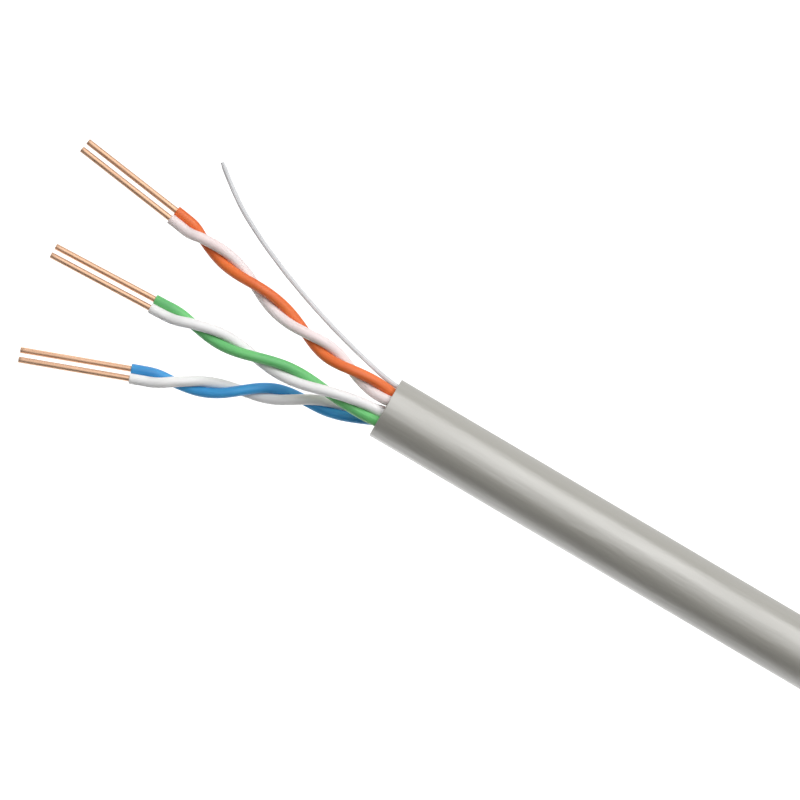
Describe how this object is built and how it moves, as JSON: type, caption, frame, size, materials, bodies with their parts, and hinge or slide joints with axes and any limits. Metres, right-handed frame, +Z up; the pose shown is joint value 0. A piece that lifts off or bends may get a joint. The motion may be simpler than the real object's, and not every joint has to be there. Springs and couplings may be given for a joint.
{
  "type": "stripped telephone cable end",
  "caption": "Short cut length of round jacketed telephone and data cable, stripped to fanned colour-coded twisted pairs with bare copper tips and a ripcord.",
  "frame": {"origin": "middle of the jacket's mouth, on the jacket's axis", "axes": "+X along the jacket, away from the stripped end; +Y across it, towards the orange pair and the ripcord; +Z up, the cable lies on a surface at Z = -2.6 mm"},
  "size_m": [0.1014, 0.0223, 0.0052],
  "materials": {
    "jacket_pvc": "soft satin, faint draw lines",
    "insulation_orange": "smooth satin gloss",
    "insulation_orange_mate": "smooth satin gloss",
    "insulation_green": "smooth satin gloss",
    "insulation_green_mate": "smooth satin gloss",
    "insulation_blue": "smooth satin gloss",
    "insulation_blue_mate": "smooth satin gloss",
    "copper": "bright drawn copper",
    "ripcord": "twisted fine filaments"
  },
  "bodies": {
    "cable": {"jacket": "jacket_pvc", "insulation_orange": "insulation_orange", "conductor_orange": "copper", "insulation_orange_mate": "insulation_orange_mate", "conductor_orange_mate": "copper", "insulation_green": "insulation_green", "conductor_green": "copper", "insulation_green_mate": "insulation_green_mate", "conductor_green_mate": "copper", "insulation_blue": "insulation_blue", "conductor_blue": "copper", "insulation_blue_mate": "insulation_blue_mate", "conductor_blue_mate": "copper", "ripcord_in_jacket": "ripcord"},
    "ripcord": {"ripcord_free": "ripcord"}
  },
  "joints": [
    {"name": "ripcord_fold", "type": "hinge", "parent": "cable", "child": "ripcord", "pos_m": [-0.0005, 0.0019, 0.00022], "axis": [0, 0, -1], "range_deg": [0, 75]}
  ]
}
